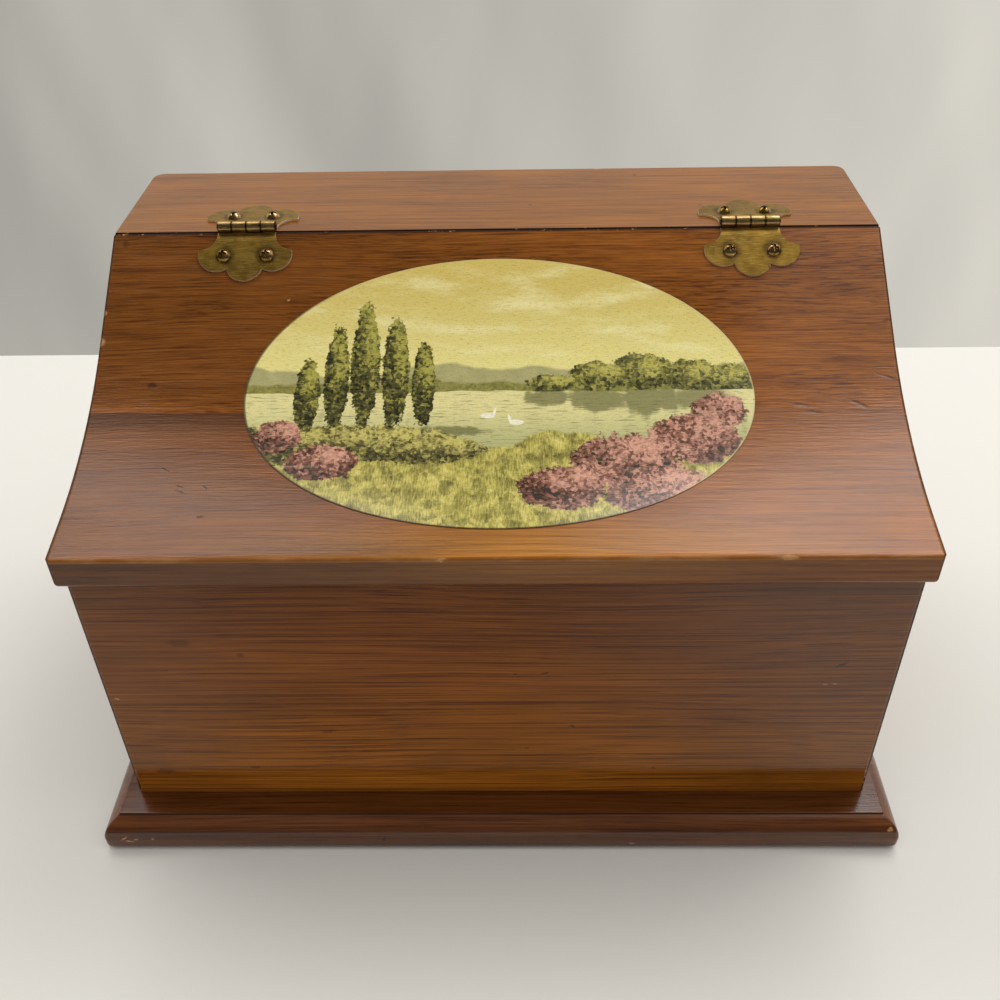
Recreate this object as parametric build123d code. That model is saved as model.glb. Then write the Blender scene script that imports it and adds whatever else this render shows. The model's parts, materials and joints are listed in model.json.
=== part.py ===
from build123d import *
from math import atan2, cos, degrees, hypot, radians, sin, tan
import os

# Wooden keepsake box: a moulded base board, a glued case, a narrow top board and a swept lid
# that hangs from it on two scalloped brass hinges. Millimetres. X runs from left to right,
# Y from front to back and Z up. The origin is the middle of the base board's underside.

# Base board, with a flat ledge all round the case, a small step and a rounded moulding
base_thick = 15.9
side_ledge = 5.6
front_ledge = 10.8
moulding_step = 0.8
moulding_width = 6.8
moulding_radius = 9.2
base_corner_radius = 2.6
base_foot_chamfer = 2.0

# Case: rabbets in the front board take the side boards, and theirs take the back board
case_width = 310.0
case_depth = 193.7
front_thick = 12.7
side_thick = 12.7
back_thick = 12.7
rabbet_depth = 6.4
case_corner_radius = 2.6

# Roof line, seen from the side: a gentle front slope swept up into a steep one, then the flat top.
# Setbacks are measured from the case's front, and the sweep's reach from where the slopes meet
front_height = 123.0
top_height = 197.0
hinge_setback = 130.8
crest_setback = 1.4
front_slope = 10.4
meet_setback = 53.3
sweep_reach = 40.7
crest_radius = 15.0

# Lid and top board
lid_thick = 13.5
top_thick = 13.5
side_overhang = 2.0
front_overhang = 4.1
back_overhang = 2.4
joint_gap = 0.9
lid_seat_gap = 0.3
lid_nose_chamfer = 1.2
lid_lip_radius = 2.2
board_ease = 0.8
top_corner_radius = 5.0

# Oval print, pasted on the lid's swept face, between two distances from the case's front
print_width = 197.0
print_from = 9.0
print_to = 118.3
print_shift = 1.6
print_thick = 0.25
print_paste = 0.1

# Hinge leaves of sheet brass: distances from the hinge axis and from the hinge's middle
hinge_inset = 52.2
hinge_shift = 1.2
leaf_thick = 1.0
tip_half_width = 18.95
tip_reach = 10.55
cusp_half_width = 7.3
cusp_reach = 19.15
side_lobe_rise = 4.95
middle_lobe_rise = 5.65

# Hinge barrel, rolled from the leaves' sheet round the pin
barrel_length = 23.7
knuckle_count = 4
knuckle_gap = 0.2
pin_radius = 1.25
pin_clearance = 0.05
pin_end = 0.4
notch_clearance = 0.3

# Round head hinge screws with a cross recess
top_screw_half_spacing = 8.2
lid_screw_half_spacing = 8.8
screw_reach = 13.2
screw_head_radius = 3.0
screw_head_height = 2.0
screw_shank_radius = 1.3
screw_length = 11.0
recess_span = 3.3
recess_slot = 0.9
recess_depth = 1.3
screw_hole_clearance = 0.1
pilot_clearance = 0.05

# Places that follow from the sizes above
base_width = case_width + 2 * (side_ledge + moulding_width)
base_depth = case_depth + 2 * (front_ledge + moulding_width)
case_front = -case_depth / 2
case_back = case_depth / 2
top_z = base_thick + top_height
joint_y = case_front + hinge_setback
crest_y = joint_y - crest_setback
lid_width = case_width + 2 * side_overhang
lid_front = case_front - front_overhang
lid_back = joint_y - joint_gap / 2
top_front = joint_y + joint_gap / 2
top_back = case_back + back_overhang
top_underside = top_z - top_thick
bore_radius = pin_radius + pin_clearance
barrel_radius = bore_radius + leaf_thick
axis_y = joint_y
axis_z = top_z + barrel_radius
margin = 30.0

# The lid's outer face: where its two slopes would meet, and the centre of the sweep between them
front_angle = radians(front_slope)
lid_face_at_front = base_thick + front_height + lid_thick / cos(front_angle)
meet_y = case_front + meet_setback
meet_z = lid_face_at_front + meet_setback * tan(front_angle)
back_angle = atan2(top_z - meet_z, crest_y - meet_y)
middle_angle = (front_angle + back_angle) / 2
sweep_radius = sweep_reach / tan((back_angle - front_angle) / 2)
sweep_y = meet_y - sweep_reach * cos(front_angle) - sweep_radius * sin(front_angle)
sweep_z = meet_z - sweep_reach * sin(front_angle) + sweep_radius * cos(front_angle)
crest_centre_y = crest_y + crest_radius * tan(back_angle / 2)
crest_centre_z = top_z - crest_radius


def front_line(y, drop=0.0):
    return lid_face_at_front + (y - case_front) * tan(front_angle) - drop / cos(front_angle)


def back_line(y, drop=0.0):
    return top_z - (crest_y - y) * tan(back_angle) - drop / cos(back_angle)


def lid_face(y):
    # Height of the lid's outer face, leaving out its rounded crest
    if y < sweep_y + sweep_radius * sin(front_angle):
        return front_line(y)
    if y > sweep_y + sweep_radius * sin(back_angle):
        return back_line(y)
    return sweep_z - (sweep_radius**2 - (y - sweep_y) ** 2) ** 0.5


def roof_area(drop):
    # Side view of all that lies under the roof line, lowered square to itself by drop
    def on_sweep(angle):
        reach = sweep_radius + drop
        return (sweep_y + reach * sin(angle), sweep_z - reach * cos(angle))

    def on_crest(angle):
        reach = crest_radius - drop
        return (crest_centre_y - reach * sin(angle), crest_centre_z + reach * cos(angle))

    front_end = (lid_front - margin, front_line(lid_front - margin, drop))
    back_end = (top_back + margin, top_z - drop)
    sweep_start = on_sweep(front_angle)
    sweep_end = on_sweep(back_angle)
    outline = Line(front_end, sweep_start)
    outline += ThreePointArc(sweep_start, on_sweep(middle_angle), sweep_end)
    if drop > 0:
        # The lid ends before the underside's corner, so that corner stays sharp
        corner = (crest_y + drop * tan(back_angle / 2), top_z - drop)
        outline += Line(sweep_end, corner)
        outline += Line(corner, back_end)
    else:
        crest_start = on_crest(back_angle)
        crest_end = on_crest(0)
        outline += Line(sweep_end, crest_start)
        outline += ThreePointArc(crest_start, on_crest(back_angle / 2), crest_end)
        outline += Line(crest_end, back_end)
    outline += Polyline(back_end, (back_end[0], 0), (front_end[0], 0), front_end)
    return make_face(outline)


def side_view_box(y_from, y_to, z_from, z_to):
    middle = Pos((y_from + y_to) / 2, (z_from + z_to) / 2)
    return middle * Rectangle(y_to - y_from, z_to - z_from)


def across(area, width, middle=0.0):
    # Extrudes a side view along X, to both sides of the middle
    return extrude(Plane.YZ.offset(middle - width / 2) * area, width)


def block(x, y, z):
    # A box between the given limits
    centre = Pos(sum(x) / 2, sum(y) / 2, sum(z) / 2)
    return centre * Box(x[1] - x[0], y[1] - y[0], z[1] - z[0])


def rod(plane, radius, low, high):
    # A cylinder along the plane's normal
    return extrude(plane.offset(low) * Circle(radius), high - low)


# Hinge planes: on the wood below the axis, Y away from the axis and Z out of the wood


def top_plane(hinge_x):
    return Plane((hinge_x, axis_y, top_z), x_dir=(1, 0, 0), z_dir=(0, 0, 1))


def slope_plane(hinge_x):
    depth = (axis_z - back_line(axis_y)) * cos(back_angle)
    y = axis_y + depth * sin(back_angle)
    z = axis_z - depth * cos(back_angle)
    normal = (0, -sin(back_angle), cos(back_angle))
    return Plane((hinge_x, y, z), x_dir=(-1, 0, 0), z_dir=normal)


def screw_seats(plane):
    # Planes on the leaf's outer face, the one nearer the middle of the box first
    flat = plane.z_dir.Z > 0.999
    half_spacing = top_screw_half_spacing if flat else lid_screw_half_spacing
    places = [Pos(side * half_spacing, screw_reach, leaf_thick) for side in (-1, 1)]
    seats = [Plane(plane.location * place) for place in places]
    return sorted(seats, key=lambda seat: abs(seat.origin.X))


hinges = {
    "left": hinge_shift - (case_width / 2 - hinge_inset),
    "right": hinge_shift + (case_width / 2 - hinge_inset),
}


def hinge_screw(seat):
    # Domed head on the seat, with a cross recess, and its shank in the wood
    ball_radius = (screw_head_radius**2 + screw_head_height**2) / (2 * screw_head_height)
    head = seat.offset(screw_head_height - ball_radius).location * Sphere(ball_radius)
    head = head & rod(seat, screw_head_radius + 1, 0, screw_head_height)
    cross = Rectangle(recess_span, recess_slot) + Rectangle(recess_slot, recess_span)
    head = head - extrude(seat.offset(screw_head_height) * cross, -recess_depth)
    return head + rod(seat, screw_shank_radius, -screw_length, 0)


def hinge_screws(plane_at):
    # The four alike screws that hold both hinges to one board
    seats = [seat for hinge_x in hinges.values() for seat in screw_seats(plane_at(hinge_x))]
    return Compound(children=[hinge_screw(seat) for seat in seats])


def screw_pilot(seat):
    return rod(seat, screw_shank_radius + pilot_clearance, -screw_length, 0)


def base_board():
    slab_top = base_thick - moulding_step
    side_profile = Pos(0, slab_top / 2) * Rectangle(base_depth, slab_top)
    side_profile = fillet(side_profile.vertices().group_by(Axis.Y)[-1], moulding_radius)
    front_profile = Pos(0, slab_top / 2) * Rectangle(base_width, slab_top)
    front_profile = fillet(front_profile.vertices().group_by(Axis.Y)[-1], moulding_radius)
    # The two rounded prisms meet in mitred corners, as a moulding does
    slab = across(side_profile, base_width)
    slab = slab & extrude(Plane.XZ.offset(-base_depth / 2) * front_profile, base_depth)
    slab = slab & extrude(RectangleRounded(base_width, base_depth, base_corner_radius), slab_top)
    slab = chamfer(slab.edges().group_by(Axis.Z)[0], base_foot_chamfer)
    ledge = Rectangle(case_width + 2 * side_ledge, case_depth + 2 * front_ledge)
    return slab + extrude(Plane.XY.offset(slab_top) * ledge, moulding_step)


def front_board():
    outside = block(
        (-case_width / 2, case_width / 2), (case_front, case_front + front_thick), (base_thick, top_z)
    )
    corners = outside.edges().filter_by(Axis.Z).group_by(Axis.Y)[0]
    board = fillet(corners, case_corner_radius)
    # The bevelled top edge lies flat against the lid
    board = board & across(roof_area(lid_thick), case_width)
    inside = case_front + front_thick
    for side in (-1, 1):
        rabbet_x = sorted((side * (case_width / 2 + 1), side * (case_width / 2 - side_thick)))
        board -= block(rabbet_x, (inside - rabbet_depth, inside), (base_thick, top_z))
    return board


def side_board(side):
    under_lid = side_view_box(case_front, top_front, base_thick, top_underside)
    under_lid = under_lid & roof_area(lid_thick + lid_seat_gap)
    area = under_lid + side_view_box(top_front, case_back, base_thick, top_underside)
    start = case_front + front_thick - rabbet_depth
    area = area & side_view_box(start, case_back, base_thick, top_underside)
    board = across(area, side_thick, side * (case_width - side_thick) / 2)
    # A rabbet down the back edge takes the back board
    inner = case_width / 2 - side_thick
    rabbet_x = sorted((side * inner, side * (inner + rabbet_depth)))
    board -= block(rabbet_x, (case_back - back_thick, case_back), (base_thick, top_underside))
    outer_back = board.edges().filter_by(Axis.Z).group_by(Axis.Y)[-1].sort_by(Axis.X)
    outer_back = outer_back[0] if side < 0 else outer_back[-1]
    return fillet(outer_back, case_corner_radius)


def back_board():
    half = case_width / 2 - side_thick + rabbet_depth
    return block((-half, half), (case_back - back_thick, case_back), (base_thick, top_underside))


def top_board():
    length = top_back - top_front
    plan = Pos(0, (top_front + top_back) / 2) * Rectangle(lid_width, length)
    plan = fillet(plan.vertices().group_by(Axis.Y)[-1], top_corner_radius)
    board = extrude(Plane.XY.offset(top_underside) * plan, top_thick)
    board = board & across(roof_area(0), lid_width + 1)
    # Every long edge but those at the joint is eased
    upper = board.faces().sort_by(Axis.Z)[-1].edges()
    lower = board.faces().sort_by(Axis.Z)[0].edges()
    eased = [edge for edge in upper + lower if edge.center().Y > top_front + crest_radius / 2]
    board = chamfer(eased, board_ease)
    for hinge_x in hinges.values():
        for seat in screw_seats(top_plane(hinge_x)):
            board -= screw_pilot(seat)
    return board


def lid_panel():
    area = roof_area(0) - roof_area(lid_thick)
    area = area & side_view_box(lid_front, lid_back, base_thick, top_z)
    nose = area.vertices().group_by(Axis.X)[0].sort_by(Axis.Y)
    area = fillet(nose[0], lid_lip_radius)
    nose = area.vertices().group_by(Axis.X)[0].sort_by(Axis.Y)
    area = chamfer(nose[-1], lid_nose_chamfer)
    lid = across(area, lid_width)
    ends = lid.faces().filter_by(Axis.X)
    eased = [edge for face in ends for edge in face.edges() if edge.center().Y < lid_back - 1]
    lid = chamfer(eased, board_ease)
    for hinge_x in hinges.values():
        for seat in screw_seats(slope_plane(hinge_x)):
            lid -= screw_pilot(seat)
    return lid


def oval_print():
    # Cut square to the chord between its lower and upper edges
    y_from = case_front + print_from
    y_to = case_front + print_to
    rise = lid_face(y_to) - lid_face(y_from)
    chord = hypot(y_to - y_from, rise)
    tilt = atan2(rise, y_to - y_from)
    centre = (print_shift, (y_from + y_to) / 2, (lid_face(y_from) + lid_face(y_to)) / 2)
    plane = Plane(centre, x_dir=(1, 0, 0), z_dir=(0, -sin(tilt), cos(tilt)))
    sheet = roof_area(-print_paste - print_thick) - roof_area(-print_paste)
    sheet = across(sheet, print_width + 1, print_shift)
    oval = Ellipse(print_width / 2, chord / 2)
    return sheet & extrude(plane * oval, margin, both=True)


def leaf_outline():
    # From the axis out: neck, hollow shoulder, pointed tip, side lobe and half the middle lobe
    neck = barrel_length / 2
    shoulder = tip_half_width - neck
    neck_end = tip_reach - shoulder
    hollow = (tip_half_width - shoulder * sin(radians(45)), neck_end + shoulder * sin(radians(45)))
    tip = (tip_half_width, tip_reach)
    cusp = (cusp_half_width, cusp_reach)
    other_tip = (-tip[0], tip[1])
    other_cusp = (-cusp[0], cusp[1])
    outline = Polyline((-neck, neck_end), (-neck, 0), (neck, 0), (neck, neck_end))
    outline += ThreePointArc((neck, neck_end), hollow, tip)
    outline += SagittaArc(tip, cusp, -side_lobe_rise)
    outline += SagittaArc(cusp, other_cusp, -middle_lobe_rise)
    outline += SagittaArc(other_cusp, other_tip, -side_lobe_rise)
    outline += ThreePointArc(other_tip, (-hollow[0], hollow[1]), (-neck, neck_end))
    return make_face(outline)


def knuckle_places(first):
    # Middles of every second knuckle along the barrel, from the first one given
    pitch = (barrel_length + knuckle_gap) / knuckle_count
    start = -barrel_length / 2 + (pitch - knuckle_gap) / 2
    return [start + index * pitch for index in range(first, knuckle_count, 2)]


def barrel_rod(hinge_x, middle, radius, length):
    axis = Plane((hinge_x + middle, axis_y, axis_z), x_dir=(0, 1, 0), z_dir=(1, 0, 0))
    return rod(axis, radius, -length / 2, length / 2)


def hinge_leaf(plane, own, others, sheet):
    # The outline, cut out of the sheet and rolled round the pin at every second knuckle
    hinge_x = plane.origin.X
    outline = extrude(plane * leaf_outline(), 2 * barrel_radius, both=True)
    leaf = outline & across(sheet, 2 * tip_half_width + margin, hinge_x)
    pitch = (barrel_length + knuckle_gap) / knuckle_count
    for middle in knuckle_places(others):
        notch_radius = barrel_radius + notch_clearance
        leaf -= barrel_rod(hinge_x, middle, notch_radius, pitch + knuckle_gap)
    for middle in knuckle_places(own):
        leaf += barrel_rod(hinge_x, middle, barrel_radius, pitch - knuckle_gap)
    leaf -= barrel_rod(hinge_x, 0, bore_radius, barrel_length + 1)
    for seat in screw_seats(plane):
        hole_radius = screw_shank_radius + screw_hole_clearance
        leaf -= rod(seat, hole_radius, -2 * leaf_thick, leaf_thick)
    return leaf


def hinge_pin(hinge_x):
    return barrel_rod(hinge_x, 0, pin_radius, barrel_length + 2 * pin_end)


flat_sheet = side_view_box(axis_y, top_back, top_z, top_z + leaf_thick)
bent_sheet = roof_area(-leaf_thick) - roof_area(0)
bent_sheet = bent_sheet & side_view_box(crest_y - margin, axis_y, base_thick, axis_z)

pieces = {
    "base_board": base_board(),
    "front_board": front_board(),
    "left_side_board": side_board(-1),
    "right_side_board": side_board(1),
    "back_board": back_board(),
    "top_board": top_board(),
    "lid_panel": lid_panel(),
    "oval_print": oval_print(),
    "hinge_top_screws": hinge_screws(top_plane),
    "hinge_lid_screws": hinge_screws(slope_plane),
}
for name, hinge_x in hinges.items():
    pieces[f"{name}_hinge_top_leaf"] = hinge_leaf(top_plane(hinge_x), 0, 1, flat_sheet)
    pieces[f"{name}_hinge_lid_leaf"] = hinge_leaf(slope_plane(hinge_x), 1, 0, bent_sheet)
    pieces[f"{name}_hinge_pin"] = hinge_pin(hinge_x)

os.makedirs("parts", exist_ok=True)
for name, piece in pieces.items():
    export_step(piece, f"parts/{name}.step")
    print(name, round(piece.volume), "mm3")
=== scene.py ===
import json
import math
import bmesh
import bpy
from mathutils import Matrix, Vector


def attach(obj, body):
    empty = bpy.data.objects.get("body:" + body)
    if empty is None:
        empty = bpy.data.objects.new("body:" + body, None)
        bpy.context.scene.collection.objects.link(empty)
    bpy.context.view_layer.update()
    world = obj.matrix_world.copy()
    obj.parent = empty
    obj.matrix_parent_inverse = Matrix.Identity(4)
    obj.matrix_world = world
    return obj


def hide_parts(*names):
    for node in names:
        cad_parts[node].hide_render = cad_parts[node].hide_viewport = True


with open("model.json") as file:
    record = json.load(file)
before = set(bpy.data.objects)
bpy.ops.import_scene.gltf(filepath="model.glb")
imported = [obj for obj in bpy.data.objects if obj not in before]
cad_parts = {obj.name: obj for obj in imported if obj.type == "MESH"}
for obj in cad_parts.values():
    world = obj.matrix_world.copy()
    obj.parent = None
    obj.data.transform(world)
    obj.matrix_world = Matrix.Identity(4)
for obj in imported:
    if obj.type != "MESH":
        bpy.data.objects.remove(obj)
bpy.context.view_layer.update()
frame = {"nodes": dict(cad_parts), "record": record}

nodes = frame["nodes"]
mm = 0.001


# shader maths

class Wire:
    # one output of a material's node, so that shader maths reads as plain Python
    def __init__(self, shader, socket):
        self.shader = shader
        self.socket = socket

    def joined(self, operation, first, second):
        numbers = all(not isinstance(v, (tuple, Wire)) or isinstance(v, Wire) and v.socket.type == "VALUE"
                      for v in (first, second))
        kind = "Math" if numbers else "VectorMath"  # a Math node would turn a colour grey
        return self.shader.add(kind, {"operation": operation}, {0: first, 1: second})

    def __add__(self, other): return self.joined("ADD", self, other)
    def __radd__(self, other): return self.joined("ADD", other, self)
    def __sub__(self, other): return self.joined("SUBTRACT", self, other)
    def __rsub__(self, other): return self.joined("SUBTRACT", other, self)
    def __mul__(self, other): return self.joined("MULTIPLY", self, other)
    def __rmul__(self, other): return self.joined("MULTIPLY", other, self)
    def __truediv__(self, other): return self.joined("DIVIDE", self, other)
    def __rtruediv__(self, other): return self.joined("DIVIDE", other, self)


class Shader:
    def __init__(self, name, world=None):
        self.owner = world or bpy.data.materials.new(name)
        self.owner.use_nodes = True
        self.nodes = self.owner.node_tree.nodes
        self.links = self.owner.node_tree.links
        self.nodes.clear()

    def plug(self, socket, value):
        if isinstance(value, Wire):
            self.links.new(value.socket, socket)
        elif socket.type == "VECTOR" and not isinstance(value, tuple):
            socket.default_value = (value,) * 3
        elif socket.type == "RGBA" and len(value) == 3:
            socket.default_value = (*value, 1.0)
        else:
            socket.default_value = value

    def add(self, kind, settings=None, values=None, out=0):
        # settings come first, because they change which sockets a node has
        node = self.nodes.new("ShaderNode" + kind)
        for key, value in (settings or {}).items():
            if key == "stops":
                stops = node.color_ramp.elements
                while len(stops) < len(value):
                    stops.new(0.5)
                for stop, (position, colour) in zip(stops, value):
                    stop.position = position
                    stop.color = (*colour, 1.0)
            else:
                setattr(node, key, value)
        for key, value in (values or {}).items():
            self.plug(node.inputs[key], value)
        return Wire(self, node.outputs[out]) if node.outputs else None

    def place(self):  # millimetres in the shared frame
        return self.add("TexCoord", out="Object") * (1000.0, 1000.0, 1000.0)

    def axes(self, point):
        split = self.add("SeparateXYZ", {}, {0: point})
        return [Wire(self, output) for output in split.socket.node.outputs]

    def vector(self, x, y, z):
        return self.add("CombineXYZ", {}, {0: x, 1: y, 2: z})

    def noise(self, point, size, detail=3.0, rough=0.5, colour=False):
        values = {"Vector": point, "Scale": 1.0 / size, "Detail": detail, "Roughness": rough}
        return self.add("TexNoise", {}, values, out=1 if colour else 0)

    def cells(self, point, size, out="Distance"):
        return self.add("TexVoronoi", {}, {"Vector": point, "Scale": 1.0 / size}, out=out)

    def rise(self, value, low, high):  # smooth 0 to 1 between two values
        settings = {"interpolation_type": "SMOOTHSTEP"}
        return self.add("MapRange", settings, {0: value, 1: low, 2: high, 3: 0.0, 4: 1.0})

    def span(self, value, low, high):  # straight from one value to another
        return self.add("MapRange", {}, {0: value, 1: 0.0, 2: 1.0, 3: low, 4: high})

    def mix(self, amount, first, second, blend="MIX"):
        settings = {"data_type": "RGBA", "blend_type": blend}
        return self.add("Mix", settings, {0: amount, 6: first, 7: second}, out=2)

    def dimmed(self, tone, level):  # a colour made darker or lighter evenly
        return tone * self.vector(level, level, level)

    def math(self, operation, *values):
        return self.add("Math", {"operation": operation}, dict(enumerate(values)))

    def ramp(self, value, stops):
        return self.add("ValToRGB", {"stops": stops}, {0: value})

    def spot(self, point, centre, halfSizes, turn=0.0, axis="z"):
        # 1 in the middle of an ellipsoid, falling to 0 at its edge
        turned = {"x": (turn, 0, 0), "y": (0, turn, 0), "z": (0, 0, turn)}[axis]
        values = {0: point, "Location": centre, "Rotation": turned, "Scale": halfSizes}
        inside = self.add("Mapping", {"vector_type": "TEXTURE"}, values)
        return self.add("TexGradient", {"gradient_type": "SPHERICAL"}, {0: inside}, out=1)

    def bump(self, height, strength, distance=0.0001):
        return self.add("Bump", {}, {"Height": height, "Strength": strength, "Distance": distance})

    def finish(self, values, over=None, amount=None):  # over: a second surface, mixed in by the amount
        surface = self.add("BsdfPrincipled", {}, values)
        if over:
            covering = self.add("BsdfPrincipled", {}, over)
            surface = self.add("MixShader", {}, {0: amount, 1: surface, 2: covering})
        self.add("OutputMaterial", {}, {0: surface})
        return self.owner


# refined pieces: they stand for CAD nodes, with the softened edges of a made thing

def finishPiece(name, mesh, width=0.0, weighted=False):
    # rounds the sharp edges, keeps the flats flat in the shading and hands the piece to its node
    body = bodyOf[name]
    rough = bpy.data.objects.new(name + ".rough", mesh)
    bpy.context.scene.collection.objects.link(rough)
    if width > 0:
        bevel = rough.modifiers.new("rounded edges", "BEVEL")
        bevel.width, bevel.segments = width * mm, 3
        bevel.limit_method = "WEIGHT" if weighted else "ANGLE"
        bevel.angle_limit = math.radians(35)
        bevel.use_clamp_overlap = True
    rough.modifiers.new("flat faces", "WEIGHTED_NORMAL").keep_sharp = True
    ready = rough.evaluated_get(bpy.context.evaluated_depsgraph_get())
    done = bpy.data.meshes.new_from_object(ready)
    piece = bpy.data.objects.new(name + ".piece", done)
    bpy.context.scene.collection.objects.link(piece)
    bpy.data.objects.remove(rough)
    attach(piece, body)
    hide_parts(name)
    pieces[name] = piece
    return piece


def softened(name, width):
    # a CAD node's own shape with its sharp edges rounded
    bm = bmesh.new()
    bm.from_mesh(nodes[name].data)
    bmesh.ops.remove_doubles(bm, verts=bm.verts, dist=0.002 * mm)
    bmesh.ops.dissolve_limit(bm, angle_limit=math.radians(0.6), verts=bm.verts, edges=bm.edges)
    mesh = bpy.data.meshes.new(name)
    for face in bm.faces:
        face.smooth = True
    bm.to_mesh(mesh)
    bm.free()
    return finishPiece(name, mesh, width)


def arc(centreY, centreZ, radius, start, end, steps, facing=1):
    # points on an arc and which way they face; angles in degrees from straight up, towards the back
    turns = [math.radians(start + (end - start) * step / steps) for step in range(steps + 1)]
    return [(centreY + radius * math.sin(turn), centreZ + radius * math.cos(turn),
             facing * math.sin(turn), facing * math.cos(turn)) for turn in turns]


# a swept board: a gentle slope at the front, a steep one at the back and an arc between; mm and degrees
lidShape = {
    "width": 314.0, "front": -100.95, "back": 33.5, "thick": 13.5, "top": 212.9, "seam": 32.55,
    "frontSlope": 10.4, "backSlope": 33.56, "sweepRadius": 198.6, "faceAtFront": 152.6255,
    "lip": 2.2, "arris": 1.1, "rollRadius": 14.0, "rollTurn": 8.0, "crest": 1.2,
    "endWide": 1.7, "endDrop": 0.9, "noseDrop": 2.3,  # rounded ends: sideways, off the faces, at the nose
    "caseFront": -96.85, "arrisSteps": 6, "rollSteps": 5, "sweepSteps": 28, "endSteps": 4,
}


def lidBoard():
    shape = lidShape
    low, high = math.radians(shape["frontSlope"]), math.radians(shape["backSlope"])

    def frontLine(y, drop=0.0):
        return shape["faceAtFront"] + (y - shape["caseFront"]) * math.tan(low) - drop / math.cos(low)

    def backLine(y, drop=0.0):
        return shape["top"] - (shape["seam"] - y) * math.tan(high) - drop / math.cos(high)

    # the two slopes meet at one point, and the sweep touches both
    rise = shape["top"] - shape["faceAtFront"]
    rise = rise - shape["seam"] * math.tan(high) + shape["caseFront"] * math.tan(low)
    meetY = rise / (math.tan(low) - math.tan(high))
    reach = shape["sweepRadius"] * math.tan((high - low) / 2)
    centreY = meetY - reach * math.cos(low) - shape["sweepRadius"] * math.sin(low)
    centreZ = frontLine(meetY) - reach * math.sin(low) + shape["sweepRadius"] * math.cos(low)
    thick, front, back = shape["thick"], shape["front"], shape["back"]
    drop, nose = shape["endDrop"], shape["noseDrop"]
    arris, lip, crest = shape["arris"], shape["lip"], shape["crest"]
    profile = []  # each point with how far it moves inwards at the rounded ends

    def follow(points, dropY, dropZ):
        profile.extend((y, z, -faceY * dropY, -faceZ * dropZ) for y, z, faceY, faceZ in points)

    # the front edge rolls over gently before its tighter arris
    roll, lean = shape["rollRadius"], shape["frontSlope"] + shape["rollTurn"]
    sinLow, sinLean = math.sin(low), math.sin(math.radians(lean))
    rollY = front + arris * (1 - sinLean) + roll * (sinLean - sinLow)
    rollMiddle = (rollY + roll * sinLow, frontLine(rollY) - roll * math.cos(low))
    inner = roll - arris
    arrisMiddle = (rollMiddle[0] - inner * sinLean, rollMiddle[1] + inner * math.cos(math.radians(lean)))
    steps = shape["sweepSteps"]
    follow(arc(*arrisMiddle, arris, -90, -lean, shape["arrisSteps"]), nose, drop)
    follow(arc(*rollMiddle, roll, -lean, -shape["frontSlope"], shape["rollSteps"])[1:], drop, drop)
    sweepStart, sweepEnd = 180 - shape["frontSlope"], 180 - shape["backSlope"]
    follow(arc(centreY, centreZ, shape["sweepRadius"], sweepStart, sweepEnd, steps, -1), drop, drop)
    crestY = shape["seam"] + crest * math.tan(high / 2)
    follow(arc(crestY, shape["top"] - crest, crest, -shape["backSlope"], -4, 5), drop, drop)
    follow([(back - 0.3, shape["top"], 0, 1), (back, shape["top"] - 0.3, 0, 1)], drop, drop)
    follow([(back, backLine(back, thick), 0, -1)], drop, drop)
    follow(arc(centreY, centreZ, shape["sweepRadius"] + thick, sweepEnd, sweepStart, steps // 2), drop, drop)
    under = front + lip
    lipMiddle = frontLine(under, thick) + lip / math.cos(low)
    follow(arc(under, lipMiddle, lip, sweepStart, 270, shape["arrisSteps"]), nose, nose)
    half, wide = shape["width"] / 2, shape["endWide"]
    turns = [math.radians(90 * step / shape["endSteps"]) for step in range(shape["endSteps"] + 1)]
    rightEnd = [(half - wide + wide * math.sin(turn), 1 - math.cos(turn)) for turn in turns]
    leftEnd = [(-x, inward) for x, inward in reversed(rightEnd)]
    bm = bmesh.new()
    rows = []
    for x, inward in leftEnd + rightEnd:
        places = [(x, y + inward * moveY, z + inward * moveZ) for y, z, moveY, moveZ in profile]
        rows.append([bm.verts.new(Vector(place) * mm) for place in places])
    for row, following in zip(rows, rows[1:]):
        for step in range(len(profile)):
            after = (step + 1) % len(profile)
            bm.faces.new((row[step], following[step], following[after], row[after]))
    bm.faces.new(rows[0])
    bm.faces.new(list(reversed(rows[-1])))
    bmesh.ops.recalc_face_normals(bm, faces=bm.faces)
    for face in bm.faces:
        face.smooth = True
    mesh = bpy.data.meshes.new("lid_panel")
    bm.to_mesh(mesh)
    bm.free()
    return finishPiece("lid_panel", mesh)


# a flat ledge with a rounded moulding round it; mm and degrees
baseShape = {
    "ledgeHalfX": 160.6, "ledgeHalfY": 107.65, "ledge": 15.9, "reach": 6.8,
    "curveWide": 8.6, "curveHigh": 10.0, "curveTop": 15.1,
    "foot": 3.3, "footTurn": 82.0, "footInset": 0.8, "corner": 2.6, "innerCorner": 0.7,
    "curveSteps": 14, "footSteps": 6, "cornerSteps": 8,
}


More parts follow.
